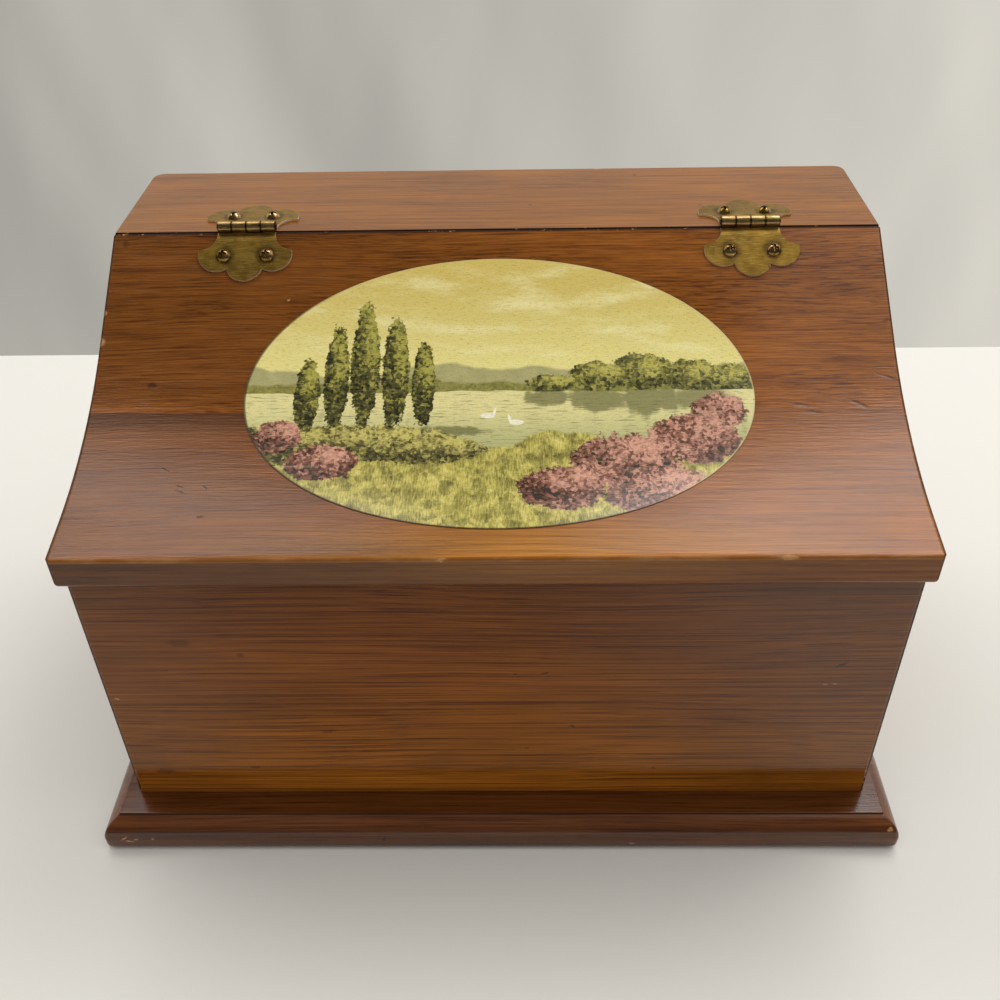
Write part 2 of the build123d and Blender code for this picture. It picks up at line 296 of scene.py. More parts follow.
def baseBoard():
    # a stack of rounded rectangles: (outward from the ledge's edge, height, corner radius)
    shape = baseShape
    reach, wide, high, foot = shape["reach"], shape["curveWide"], shape["curveHigh"], shape["foot"]
    ledge, corner, tight = shape["ledge"], shape["corner"], shape["innerCorner"]
    inner, middleZ = reach - wide, shape["curveTop"] - high
    start = math.asin(-inner / wide)
    paintedLightLevels = [(-0.5, ledge, 0.4), (-0.15, ledge - 0.12, 0.6), (0.0, ledge - 0.4, tight)]
    paintedLightLevels.append((0.02, middleZ + high * math.cos(start) + 0.12, tight))
    for step in range(1, shape["curveSteps"] + 1):
        part = step / shape["curveSteps"]
        turn = start + (math.pi / 2 - start) * part
        rounding = tight + (corner - tight) * part ** 2
        paintedLightLevels.append((inner + wide * math.sin(turn), middleZ + high * math.cos(turn), rounding))
    for step in range(shape["footSteps"] + 1):
        turn = math.radians(shape["footTurn"]) * step / shape["footSteps"]
        paintedLightLevels.append((reach - foot * (1 - math.cos(turn)), foot * (1 - math.sin(turn)), corner))
    paintedLightLevels.append((reach - foot - shape["footInset"], 0.0, corner))
    bm = bmesh.new()
    rings = []
    for out, height, corner in paintedLightLevels:
        halfX, halfY = shape["ledgeHalfX"] + out, shape["ledgeHalfY"] + out
        ring = []
        for quarter, (sideX, sideY) in enumerate(((1, 1), (-1, 1), (-1, -1), (1, -1))):
            for step in range(shape["cornerSteps"] + 1):
                turn = math.radians(90 * quarter + 90 * step / shape["cornerSteps"])
                x = sideX * (halfX - corner) + corner * math.cos(turn)
                y = sideY * (halfY - corner) + corner * math.sin(turn)
                ring.append(bm.verts.new((x * mm, y * mm, height * mm)))
        rings.append(ring)
    for upper, lower in zip(rings, rings[1:]):
        for step in range(len(upper)):
            after = (step + 1) % len(upper)
            bm.faces.new((upper[step], upper[after], lower[after], lower[step]))
    bm.faces.new(rings[0])
    bm.faces.new(list(reversed(rings[-1])))
    bmesh.ops.recalc_face_normals(bm, faces=bm.faces)
    for face in bm.faces:
        face.smooth = True
    mesh = bpy.data.meshes.new("base_board")
    bm.to_mesh(mesh)
    bm.free()
    mesh.set_sharp_from_angle(angle=math.radians(50))
    return finishPiece("base_board", mesh)


# ease: the rounding of its edges; jointEase: the same where it meets the lid; mm
topShape = {
    "halfX": 157.0, "front": 34.4, "back": 99.25, "low": 199.4, "high": 212.9, "corner": 5.0, "ease": 0.7,
    "jointEase": 0.25, "cornerSteps": 8,
}


def topBoard():
    shape = topShape
    outline = [(-shape["halfX"], shape["front"]), (shape["halfX"], shape["front"])]
    for sideX, first in ((1, 0), (-1, 90)):
        for step in range(shape["cornerSteps"] + 1):
            turn = math.radians(first + 90 * step / shape["cornerSteps"])
            x = sideX * (shape["halfX"] - shape["corner"]) + shape["corner"] * math.cos(turn)
            outline.append((x, shape["back"] - shape["corner"] + shape["corner"] * math.sin(turn)))
    bm = bmesh.new()
    heights = (shape["low"], shape["high"])
    rings = [[bm.verts.new((x * mm, y * mm, z * mm)) for x, y in outline] for z in heights]
    caps = [bm.faces.new(list(reversed(rings[0]))), bm.faces.new(rings[1])]
    for step in range(len(outline)):
        after = (step + 1) % len(outline)
        bm.faces.new((rings[0][step], rings[0][after], rings[1][after], rings[1][step]))
    weight = bm.edges.layers.float.new("bevel_weight_edge")
    for cap in caps:
        for edge in cap.edges:
            joint = all(abs(vert.co.y - shape["front"] * mm) < 1e-6 for vert in edge.verts)
            edge[weight] = shape["jointEase"] / shape["ease"] if joint else 1.0
    for edge in bm.edges:
        upright = abs(edge.verts[0].co.z - edge.verts[1].co.z) > mm
        if upright and abs(edge.verts[0].co.y - shape["front"] * mm) < 1e-6:
            edge[weight] = 1.0
    for face in bm.faces:
        face.smooth = True
    mesh = bpy.data.meshes.new("top_board")
    bm.to_mesh(mesh)
    bm.free()
    return finishPiece("top_board", mesh, shape["ease"], weighted=True)


def coat(name, material):
    shown = pieces.get(name, nodes[name])
    shown.data.materials.clear()
    shown.data.materials.append(material)


bodies = frame["record"]["behaviour"]["bodies"]
bodyOf = {node: body for body, members in bodies.items() for node in members}
pieces = {}
lidBoard()
baseBoard()
topBoard()
# in mm, by the way a name ends
edgeWidths = {"front_board": 0.45, "side_board": 0.45, "back_board": 0.45, "leaf": 0.22}
for name in nodes:
    for ending, width in edgeWidths.items():
        if name.endswith(ending):
            softened(name, width)
print("pieces refined:", len(pieces))


# stained and varnished wood

woodTones = {
    "darkLine": (0.038, 0.010, 0.0035),
    "brown": (0.130, 0.036, 0.0045),
    "amber": (0.262, 0.085, 0.009),
    "worn": (0.46, 0.24, 0.09),
    "rubbed": (0.24, 0.082, 0.012),
    "darkening": (0.014, 0.007, 0.004),
    # edge: painted shade on the rounded edges
    "edge": (0.024, 0.010, 0.005),
}

# along: the way the grain runs; across: over the board's face
# run, thick: a line's length and thickness in mm; lines, curl: how dark the lines and the short flecks are
# spacing, rings: the growth lines' width in mm and how dark they are; shade: light or dark
# gloss: roughness of the varnish; shine: how much it mirrors; relief: how deep the pores and marks are
boardLook = {
    "front_board": {
        "along": 0, "across": 2, "run": 110, "thick": 0.62, "lines": 0.85, "curl": 0.18, "spacing": 3.1,
        "rings": 0.5, "seed": 11.0, "shade": 1.20, "gloss": 0.07, "shine": 0.15, "relief": 0.1},
    "left_side_board": {
        "along": 1, "across": 2, "run": 70, "thick": 0.9, "lines": 0.6, "curl": 0.25, "spacing": 4.2,
        "rings": 0.45, "seed": 23.0, "shade": 1.15, "gloss": 0.17, "shine": 0.3, "relief": 0.2},
    "right_side_board": {
        "along": 1, "across": 2, "run": 70, "thick": 0.9, "lines": 0.6, "curl": 0.25, "spacing": 3.8,
        "rings": 0.45, "seed": 31.0, "shade": 1.15, "gloss": 0.17, "shine": 0.3, "relief": 0.2},
    "back_board": {
        "along": 0, "across": 2, "run": 70, "thick": 1.0, "lines": 0.6, "curl": 0.25, "spacing": 5.0,
        "rings": 0.5, "seed": 47.0, "shade": 1.15, "gloss": 0.2, "shine": 0.3, "relief": 0.2},
    "top_board": {
        "along": 0, "across": 1, "run": 60, "thick": 0.8, "lines": 0.38, "curl": 0.3, "spacing": 7.0,
        "rings": 0.2, "seed": 53.0, "shade": 1.06, "gloss": 0.18, "shine": 0.26, "relief": 0.5},
    "lid_panel": {
        "along": 0, "across": 1, "run": 26, "thick": 0.6, "lines": 0.5, "curl": 0.7, "spacing": 6.0,
        "rings": 0.22, "seed": 67.0, "shade": 0.92, "gloss": 0.15, "shine": 0.36, "relief": 0.8},
    "base_board": {
        "along": 0, "across": 1, "run": 60, "thick": 0.9, "lines": 0.45, "curl": 0.2, "spacing": 5.0,
        "rings": 0.5, "seed": 83.0, "shade": 0.54, "gloss": 0.16, "shine": 0.62, "relief": 0.2},
}

# marks of use: kind, place, half sizes, turn in degrees about the face's own axis; all in mm
marks = {
    "front_board": [
        ("dent", (19.0, -96.8, 89.7), (2.4, 6, 0.8), -20), ("dent", (7.4, -96.8, 89.2), (1.0, 6, 0.7), 0),
        ("dent", (30.1, -96.8, 58.6), (1.8, 6, 0.7), 25), ("dent", (12.0, -96.8, 44.9), (1.3, 6, 0.7), 0),
        ("dent", (64.5, -96.8, 31.8), (1.6, 6, 0.6), 15), ("pale", (-150.3, -96.8, 75.5), (1.0, 6, 0.8), 0),
        ("dent", (131.9, -96.8, 93.6), (3.4, 6, 0.9), -30), ("pale", (127.4, -96.8, 82.4), (1.6, 6, 0.4), 10),
        ("pale", (131.1, -96.8, 83.0), (1.2, 6, 0.4), 10), ("knot", (-119.3, -96.8, 106.8), (6.0, 6, 2.6), 0),
        ("knot", (-97.2, -96.8, 100.2), (2.2, 6, 1.4), 0), ("knot", (-67.9, -96.8, 55.9), (4.6, 6, 1.3), -8),
        ("knot", (-140.2, -96.8, 30.3), (5.4, 6, 2.4), 0), ("knot", (-102.1, -96.8, 32.9), (3.0, 6, 1.2), 0),
    ],
    "lid_panel": [
        ("dent", (-133.7, -24.9, 175.7), (2.6, 1.6, 6), 0),
        ("dent", (-115.2, -70.0, 158.1), (3.4, 0.6, 6), -25),
        ("dent", (-122.7, -60.1, 160.9), (3.0, 0.5, 6), -30),
        ("dent", (-115.7, -67.7, 158.7), (2.6, 0.5, 6), -20),
        ("dent", (-105.7, -81.4, 155.5), (2.2, 0.6, 6), 15),
        ("dent", (-106.3, -68.2, 158.5), (2.0, 0.6, 6), -35),
        ("shadedDimple", (118.0, -34.6, 170.8), (5.5, 1.0, 6), -8),
        ("shadedDimple", (121.6, -37.4, 170.0), (5.0, 0.8, 6), -5),
        ("shadedDimple", (139.8, -34.4, 170.8), (5.5, 1.1, 6), -25),
        ("shadedDimple", (151.5, -23.5, 176.0), (5.5, 0.8, 6), -20),
        ("knot", (156.0, -2.7, 189.5), (5.0, 0.7, 8), 10), ("knot", (154.7, -25.0, 175.7), (6.0, 0.7, 8), -8),
        ("pale", (-156.6, 2.6, 192.6), (1.8, 1.4, 6), 0), ("pale", (-156.4, -8.1, 185.4), (2.2, 2.4, 6), 30),
        ("pale", (-82.5, 6.8, 195.8), (0.9, 0.7, 6), 0), ("knot", (-151.3, 29.0, 210.5), (1.6, 2.6, 6), 20),
        ("pale", (102.7, -100.6, 151.3), (5.0, 1.0, 1.4), 0),
        ("pale", (-18.0, -100.7, 151.3), (2.6, 0.8, 1.0), 0),
    ],
    "top_board": [
        ("pale", (46.1, 98.9, 212.6), (4.0, 1.3, 3), 0), ("dent", (62.4, 90.4, 212.9), (1.7, 0.9, 5), 0),
        ("dent", (14.8, 58.3, 212.9), (1.2, 0.8, 5), 0), ("dent", (87.0, 56.2, 212.9), (1.2, 0.8, 5), 0),
    ],
    "base_board": [
        ("pale", (-156.3, -114.4, 5.9), (2.6, 6, 0.5), 25),
        ("pale", (-158.6, -114.4, 7.3), (1.6, 6, 0.5), -35),
        ("pale", (-153.2, -114.4, 7.0), (1.8, 6, 0.4), -20),
        ("pale", (-146.2, -114.4, 7.3), (1.2, 6, 0.5), 20),
        ("pale", (162.8, -112.0, 11.3), (1.6, 6, 1.2), 0), ("pale", (55.9, -114.4, 4.4), (1.5, 6, 0.6), 0),
        ("dent", (-48.0, -114.4, 7.3), (1.2, 6, 1.6), 20),
    ],
}
# each kind's colour and how strong it is; a dimple's dark colour is painted shade in its hollow
markTones = {
    "dent": ("darkening", 0.6), "shadedDimple": ("darkLine", 0.5), "knot": ("darkLine", 0.42), "pale": ("worn", 0.8),
}


def markedWood(s, point, tone, name):
    # puts a board's marks into its colour; returns the colour and how deep each mark is
    ragged = point + (s.noise(point, 1.6, 1.0, colour=True) - 0.5) * 1.6
    depth = 0.0
    for kind, place, sizes, turn in marks.get(name, []):
        axis = "y" if name in ("front_board", "base_board") else "z"
        inside = s.rise(s.spot(ragged, place, sizes, math.radians(turn), axis), 0.05, 0.55)
        shade, strength = markTones[kind]
        tone = s.mix(inside * strength, tone, woodTones[shade])
        if kind in ("dent", "shadedDimple"):
            depth = depth + s.spot(point, place, sizes, math.radians(turn), axis)
    return tone, depth


def grain(s, point, look):
    axes = s.axes(point)
    along, across = axes[look["along"]], axes[look["across"]]
    through = axes[3 - look["along"] - look["across"]]
    seed, run, thick = look["seed"], look["run"], look["thick"]
    slow = s.noise(s.vector(along / 150 + seed, across / 45, through / 45), 1.0, 1.0) - 0.5
    fine = s.noise(s.vector(along / 30 + seed, across / 7, through / 7), 1.0, 2.0) - 0.5
    high = across + slow * 6 + fine * 0.5
    deep = through + slow * 4 + fine * 0.5
    ringY, ringZ = high + 90, deep + 60
    reach = s.math("SQRT", ringY * ringY + ringZ * ringZ)
    uneven = s.noise(s.vector(reach / 14 + seed, along / 600, 0.0), 1.0, 1.0) * 2.2
    phase = s.math("FRACT", reach / look["spacing"] + uneven)
    growth = s.rise(phase, 0.35, 0.90) * (1 - s.rise(phase, 0.92, 1.0))
    patchy = s.rise(s.noise(s.vector(along / run + seed, high / 6, deep / 6), 1.0, 2.0), 0.40, 0.62)
    fibre = s.noise(s.vector(along / run + seed, high / thick, deep / thick), 1.0, 4.0, 0.65)
    thread = s.noise(s.vector(along / (run * 0.6), high / 0.42, deep / 0.42), 1.0, 3.0, 0.6)
    fleck = s.noise(s.vector(along / 8.5 + seed, high / 0.62, deep / 0.62), 1.0, 2.0, 0.55)
    cloud = s.noise(s.vector(along / 80 + seed, across / 26, through / 26), 1.0, 3.0)
    tone = s.mix(s.rise(fibre, 0.22, 0.74), woodTones["brown"], woodTones["amber"])
    tone = s.mix(growth * patchy * look["rings"], tone, woodTones["darkLine"])
    streaks = s.rise(fibre, 0.47, 0.27) * look["lines"] + s.rise(thread, 0.50, 0.30) * look["lines"] * 0.6
    tone = s.mix(s.math("MINIMUM", streaks, 0.9), tone, woodTones["darkLine"])
    gathered = s.rise(cloud, 0.62, 0.36) * 0.7 + 0.3  # flecks lie closer together in the dark clouds
    tone = s.mix(s.rise(fleck, 0.50, 0.33) * gathered * look["curl"], tone, woodTones["darkLine"])
    level = s.span(cloud, 0.62, 1.46) * look["shade"]
    return s.dimmed(tone, level), fibre, cloud


# the lid is glued up from two pieces: a strip along the front, and the rest
stripLook = {
    "along": 0, "across": 1, "run": 60, "thick": 0.7, "lines": 0.26, "curl": 0.25, "spacing": 5.0,
    "rings": 0.12, "seed": 71.0, "shade": 0.98, "gloss": 0.21,
}
lidLook = {
    "joint": -36.0, "wave": 1.2, "waveLength": 60.0, "blend": 0.25,
    "glowWide": 10.0, "glow": 0.45, "darkWide": 13.0, "dark": 0.5,  # light stain above the joint, dark below
    "strongest": (60.0, -110.0), "least": 0.25,  # both grow from here to there, towards the left
    # painted light: the lid is painted lighter towards the right, as if lit from that side
    "paintedLightSpan": (-150.0, 150.0), "paintedLightLevels": (0.80, 1.32),
    # the lighter place under the oval, and how much lighter in red, green and blue
    "amberAt": (10.0, -96.0, 154.0), "amberSize": (130.0, 17.0, 20.0), "amber": (0.55, 0.95, 0.95),
    # the front edge, in mm behind the lid's front, with a painted highlight where it rolls over; its arris,
    # in mm in the shared frame
    "nose": (0.6, 0.1), "noseDark": 0.36, "rollBack": (3.0, 1.8), "rollFront": (0.6, 1.0), "paintedRollHighlight": 0.25,
    "arrisAt": (-100.65, 151.3), "arrisWide": (1.15, 0.75), "arrisRubbed": 0.9, "arrisWorn": 0.35,
}


def lidStain(s, point, tone, fibre):
    # returns the lid's colour and fibre, and where its front strip is
    look = lidLook
    side, along, up = s.axes(point)
    stripTone, stripFibre, _ = grain(s, point, stripLook)
    wave = s.noise(s.vector(side / look["waveLength"], 0.0, 0.0), 1.0, 2.0) - 0.5
    joint = look["joint"] + wave * look["wave"]
    strip = s.rise(along, joint + look["blend"], joint - look["blend"])
    leftward = s.rise(side, *look["strongest"]) * (1 - look["least"]) + look["least"]
    glow = s.rise(along, joint + look["glowWide"], joint) * (1 - strip)
    tone = s.dimmed(tone, 1 + glow * leftward * look["glow"])
    level = 1 - s.rise(along, joint - look["darkWide"], joint) * leftward * look["dark"]
    behind = along - lidShape["front"]
    level = level * (1 - s.rise(behind, *look["nose"]) * look["noseDark"])
    amber = s.spot(point, look["amberAt"], look["amberSize"])
    stripTone = stripTone * s.vector(*[level * (amber * gain + 1) for gain in look["amber"]])
    # painted light: lighter towards the right
    level = s.span(s.rise(side, *look["paintedLightSpan"]), *look["paintedLightLevels"])
    tone = s.dimmed(s.mix(strip, tone, stripTone), level)
    fibre = s.axes(s.mix(strip, fibre, stripFibre))[0]
    # a painted highlight lies along the rounded front edge, and its arris is rubbed and worn
    rolled = s.rise(behind, *look["rollBack"]) * s.rise(behind, *look["rollFront"])
    tone = s.dimmed(tone, rolled * look["paintedRollHighlight"] + 1)
    offY, offZ = along - look["arrisAt"][0], up - look["arrisAt"][1]
    arris = s.rise(s.math("SQRT", offY * offY + offZ * offZ), *look["arrisWide"])
    rubbed = s.rise(s.noise(point * (0.35, 1.0, 1.0), 9.0, 4.0, 0.65), 0.42, 0.62)
    tone = s.mix(arris * look["arrisRubbed"], tone, woodTones["rubbed"])
    return s.mix(arris * rubbed * look["arrisWorn"], tone, woodTones["worn"]), fibre, strip


# painted light: the top board is painted lighter towards its right end, as if lit from that side; green and
# blue shift its hue
topLook = {"paintedLightEnd": (20.0, 150.0), "light": 1.16, "green": 1.08, "blue": 0.7}


def topStain(s, point, tone):
    # painted light towards the right end
    level = s.span(s.rise(s.axes(point)[0], *topLook["paintedLightEnd"]), 1.0, topLook["light"])
    return tone * s.vector(level, level * topLook["green"], level * topLook["blue"])


# painted light: the ends of the ledge are painted lighter, and the top of the moulding's curve carries a
# painted sheen; hue tints the whole board
baseLook = {
    "ends": (152.0, 158.0), "paintedEndLight": 0.12, "curveStart": (11.0, 13.5), "curveEnd": (15.4, 15.1),
    "paintedCurveSheen": 0.35, "hue": (0.90, 0.86, 1.6),
}


def baseStain(s, point, tone):
    look = baseLook
    side, _, upward = s.axes(point)
    # painted light on the ends, and a painted sheen on the curve
    ends = s.rise(s.math("ABSOLUTE", side), *look["ends"]) * look["paintedEndLight"]
    curve = s.rise(upward, *look["curveStart"]) * s.rise(upward, *look["curveEnd"]) * look["paintedCurveSheen"]
    return tone * s.vector(*[(ends + curve + 1) * gain for gain in look["hue"]])


frontLook = {
    # painted shade: the board darkens towards the top, with a painted shadow under the lid's lip; a painted
    # reflection lightens the foot
    "paintedShadeSpan": (125.0, 30.0), "paintedLightLevels": (0.78, 1.10), "underLip": (120.0, 136.0), "paintedLipShadow": 0.24,
    "foot": (29.0, 23.0), "paintedFootReflection": 0.18, "greenDown": (120.0, 20.0), "greens": (0.95, 1.06),
    # where the varnish lies thicker: glossier and darker
    "thickRight": (-10.0, 135.0), "right": 0.60, "thickLeft": (-60.0, -150.0), "left": 0.28,
    "thickDark": 0.30, "thickRough": 0.10,
}


def frontStain(s, point, tone):
    # returns the front board's colour and how thick its varnish is
    look = frontLook
    side, _, upward = s.axes(point)
    thick = s.rise(side, *look["thickRight"]) * look["right"]
    thick = thick + s.rise(side, *look["thickLeft"]) * look["left"]
    # painted shade towards the top and a painted shadow under the lid's lip
    level = s.span(s.rise(upward, *look["paintedShadeSpan"]), *look["paintedLightLevels"])
    level = level * (1 - s.rise(upward, *look["underLip"]) * look["paintedLipShadow"])
    level = level * (1 - thick * look["thickDark"])
    # a painted reflection lightens the foot
    level = level * (s.rise(upward, *look["foot"]) * look["paintedFootReflection"] + 1)
    green = s.span(s.rise(upward, *look["greenDown"]), *look["greens"])
    return tone * s.vector(level, level * green, level), thick


edgeLook = {
    # painted shade on the rounded edges: how dark, how rough and how shiny; the chips of pale wood are wear
    "dark": 0.85, "lidEdgeShade": 0.72, "rough": 0.6, "shine": 0.04,
    "chipSize": 3.5, "chips": (0.62, 0.68), "chipPale": 0.8,
    # darker along the joint between the lid and the top board, in mm
    "seam": 0.95, "seamUp": (210.8, 211.8), "lidSeam": (31.9, 32.5), "topSeam": (35.1, 34.6),
}


def paintedEdgeShade(s, point, name):
    # how much painted shade lies on a board's rounded edges and on the base's step, from the way the surface
    # faces
    _, across, upward = s.axes(point)
    faceX, faceY, faceZ = [s.math("ABSOLUTE", part) for part in s.axes(s.add("TexCoord", out="Normal"))]
    if name == "lid_panel" or name.endswith("side_board"):
        edge = s.rise(faceX, 0.12, 0.45) * s.rise(faceX, 0.97, 0.85)
    elif name == "base_board":
        edge = s.rise(upward, 14.6, 15.0) * s.rise(faceZ, 0.9, 0.5)
    else:
        edge = s.rise(s.math("MAXIMUM", s.math("MAXIMUM", faceX, faceY), faceZ), 0.97, 0.86)
    amount = edge * edgeLook["lidEdgeShade" if name == "lid_panel" else "dark"]
    seam = {"lid_panel": edgeLook["lidSeam"], "top_board": edgeLook["topSeam"]}.get(name)
    if seam:
        # darker along the seam between the lid and the top board
        darkening = s.rise(across, *seam) * s.rise(upward, *edgeLook["seamUp"]) * edgeLook["seam"]
        amount = s.math("MAXIMUM", amount, darkening)
    return amount


def stainedWood(name, look):
    s = Shader(name.replace("_", " "))
    point = s.place()
    tone, fibre, cloud = grain(s, point, look)
    gloss, varnish = look["gloss"], {}
    if name == "lid_panel":
        tone, fibre, strip = lidStain(s, point, tone, fibre)
        gloss = strip * (stripLook["gloss"] - gloss) + gloss
    elif name == "top_board":
        tone = topStain(s, point, tone)
    elif name == "base_board":
        tone = baseStain(s, point, tone)
    elif name == "front_board":
        tone, thick = frontStain(s, point, tone)
        varnish = {"Coat Weight": thick, "Coat Roughness": frontLook["thickRough"]}
    tone, depth = markedWood(s, point, tone, name)
    rough = gloss + (fibre - 0.5) * 0.10 + s.rise(cloud, 0.4, 0.7) * 0.04
    axes = s.axes(point)
    along, across = axes[look["along"]], axes[look["across"]]
    through = axes[3 - look["along"] - look["across"]]
    pores = s.noise(s.vector(along / 9, across / 0.7, through / 0.7), 1.0, 2.0, 0.6)
    normal = s.bump(pores - depth * 0.9, look["relief"])
    values = {"Base Color": tone, "Roughness": rough, "Normal": normal, "Specular IOR Level": look["shine"]}
    # on its edges lies painted shade, dark and matte, chipped to pale worn wood in places
    edgeShadeTone = woodTones["edge"]
    if name != "base_board":
        chipped = s.rise(s.noise(point, edgeLook["chipSize"], 4.0, 0.7), *edgeLook["chips"])
        edgeShadeTone = s.mix(chipped * edgeLook["chipPale"], woodTones["edge"], woodTones["worn"])
    edge = {"Base Color": edgeShadeTone, "Roughness": edgeLook["rough"], "Specular IOR Level": edgeLook["shine"]}
    return s.finish({**values, **varnish}, over=edge, amount=paintedEdgeShade(s, point, name))


for name, look in boardLook.items():
    coat(name, stainedWood(name, look))
print("boards finished:", len(boardLook))


# brass

brassTones = {
    "bright": (0.58, 0.39, 0.17), "olive": (0.30, 0.178, 0.024), "dull": (0.19, 0.110, 0.018),
    # rim: rubbed wear and a painted highlight on the leaves' rounded rims
    "grime": (0.045, 0.026, 0.012), "bronze": (0.52, 0.33, 0.15), "rim": (0.80, 0.56, 0.36),
}
# in mm; a screw's place is measured from its hinge's middle and out from the pin
hingeShape = {
    "axisY": 33.95, "axisZ": 215.2, "left": -101.6, "right": 104.0, "slope": 33.56,
    "barrel": 2.32, "knuckle": 5.975, "screwAcross": 8.5, "screwReach": 13.2,
}
# polish: how bright the flat sheet still is; grime: dirt in the pits and round the screws
brassLook = {
    "leaf": {"polish": 0.35, "grime": 0.75, "rough": 0.36},
    "pin": {"polish": 0.5, "grime": 0.6, "rough": 0.30},
    "screws": {"polish": 0.0, "grime": 0.6, "rough": 0.20},
}


def agedBrass(name, look, screws=False):
    s = Shader(name)
    point = s.place()
    x, y, z = s.axes(point)
    cloud = s.noise(point, 7.0, 4.0, 0.6)
    brushed = s.noise(point * (0.22, 3.2, 3.2), 1.0, 3.0, 0.6)
    speck = s.noise(point, 0.55, 3.0, 0.6)
    tone = s.mix(s.rise(cloud + (brushed - 0.5) * 0.5, 0.36, 0.66), brassTones["dull"], brassTones["olive"])
    tone = s.mix(s.rise(brushed, 0.48, 0.70) * look["polish"], tone, brassTones["bright"])
    if screws:
        tone = s.mix(s.rise(cloud, 0.40, 0.60), brassTones["bronze"], tone)
        tone = s.mix(s.rise(speck, 0.52, 0.70) * look["grime"], tone, brassTones["grime"])
        rough = look["rough"] + s.rise(speck, 0.5, 0.7) * 0.25
        normal = s.bump(speck, 0.12)
        return s.finish({"Base Color": tone, "Roughness": rough, "Metallic": 1.0, "Normal": normal})
    # places on a leaf: across from the nearer hinge's middle, and out from the pin
    leftSide = s.math("LESS_THAN", x, 0.0)
    middle = hingeShape["right"] + leftSide * (hingeShape["left"] - hingeShape["right"])
    fromMiddle = s.math("ABSOLUTE", x - middle)
    outY, outZ = y - hingeShape["axisY"], z - hingeShape["axisZ"]
    out = s.math("SQRT", outY * outY + outZ * outZ)
    awayX, awayOut = fromMiddle - hingeShape["screwAcross"], out - hingeShape["screwReach"]
    fromScrew = s.math("SQRT", awayX * awayX + awayOut * awayOut)
    ring = s.rise(fromScrew + (cloud - 0.5) * 2.0, 5.2, 3.0)
    tone = s.mix(ring * look["grime"] * 0.8, tone, brassTones["grime"])
    tone = s.mix(s.rise(speck, 0.58, 0.74) * look["grime"] * 0.7, tone, brassTones["grime"])
    # the rounded rims are painted bright, partly rubbed wear and partly a painted highlight; the tops of the
    # knuckles are rubbed bright
    flatness = s.axes(s.add("TexCoord", out="Normal"))
    turned = math.radians(hingeShape["slope"])
    onSlope = flatness[2] * math.cos(turned) - flatness[1] * math.sin(turned)
    facing = s.math("MAXIMUM", flatness[2], onSlope)
    rim = s.rise(facing, 0.985, 0.90)
    barrel = s.rise(out, hingeShape["barrel"] + 0.12, hingeShape["barrel"])
    rim = rim * (1 - barrel)
    tone = s.mix(barrel * s.rise(brushed, 0.30, 0.60) * 0.9, tone, brassTones["bright"])
    # painted highlight on the rims, partly rubbed wear
    tone = s.mix(rim * s.rise(speck, 0.75, 0.55), tone, brassTones["rim"])
    # painted shade in the gaps between the knuckles
    turns = s.math("PINGPONG", (x - middle) + hingeShape["knuckle"] / 2, hingeShape["knuckle"] / 2)
    gapShade = s.rise(turns, hingeShape["knuckle"] / 2 - 0.75, hingeShape["knuckle"] / 2 - 0.1) * barrel
    tone = s.mix(gapShade * 0.9, tone, brassTones["grime"])
    rubbed = s.math("MAXIMUM", rim, barrel)
    rough = look["rough"] + brushed * 0.14 + s.rise(speck, 0.5, 0.7) * 0.15 - rubbed * 0.14
    normal = s.bump(brushed + speck * 0.5, 0.16)
    return s.finish({"Base Color": tone, "Roughness": rough, "Metallic": 1 - rim * 0.7, "Normal": normal})


for kind, look in brassLook.items():
    brass = agedBrass("aged brass " + kind, look, screws=kind == "screws")
    for name in nodes:
        if name.endswith(kind):
            coat(name, brass)
print("brass finished")


# the oval print

printLook = {
    "middle": (1.6, -33.2, 179.9), "halfSize": (98.5, 60.36), "tilt": 25.13,
    # each mass of leaves: middle across and up, then half its size
    "poplars": [(-63, 8, 6, 27), (-52, 14, 7, 32), (-40, 10, 6.5, 29), (-29, 5, 5.5, 23), (-74, 0, 6, 20)],
    "farTrees": [(38, 8, 13, 8), (56, 10, 15, 10), (75, 8, 14, 9), (20, 5, 11, 5), (90, 6, 12, 9)],
    "roses": [(48, -30, 25, 15), (74, -20, 22, 14), (24, -42, 20, 12), (60, -44, 26, 14), (84, -8, 13, 10)],
    "leftRoses": [(-66, -30, 17, 10), (-84, -18, 12, 9)],
    "point": [(-54, -21, 50, 10), (-30, -24, 30, 8), (-84, -22, 26, 12)],  # the grassy point they stand on
    "mirrored": [(38, -2, 16, 7), (58, -2, 18, 9), (78, -2, 16, 8), (20, -1, 14, 5), (-20, -16, 20, 3)],
    "swans": [(-4, -9, 1), (7, -12, -1)],  # across, up and which way it swims
}
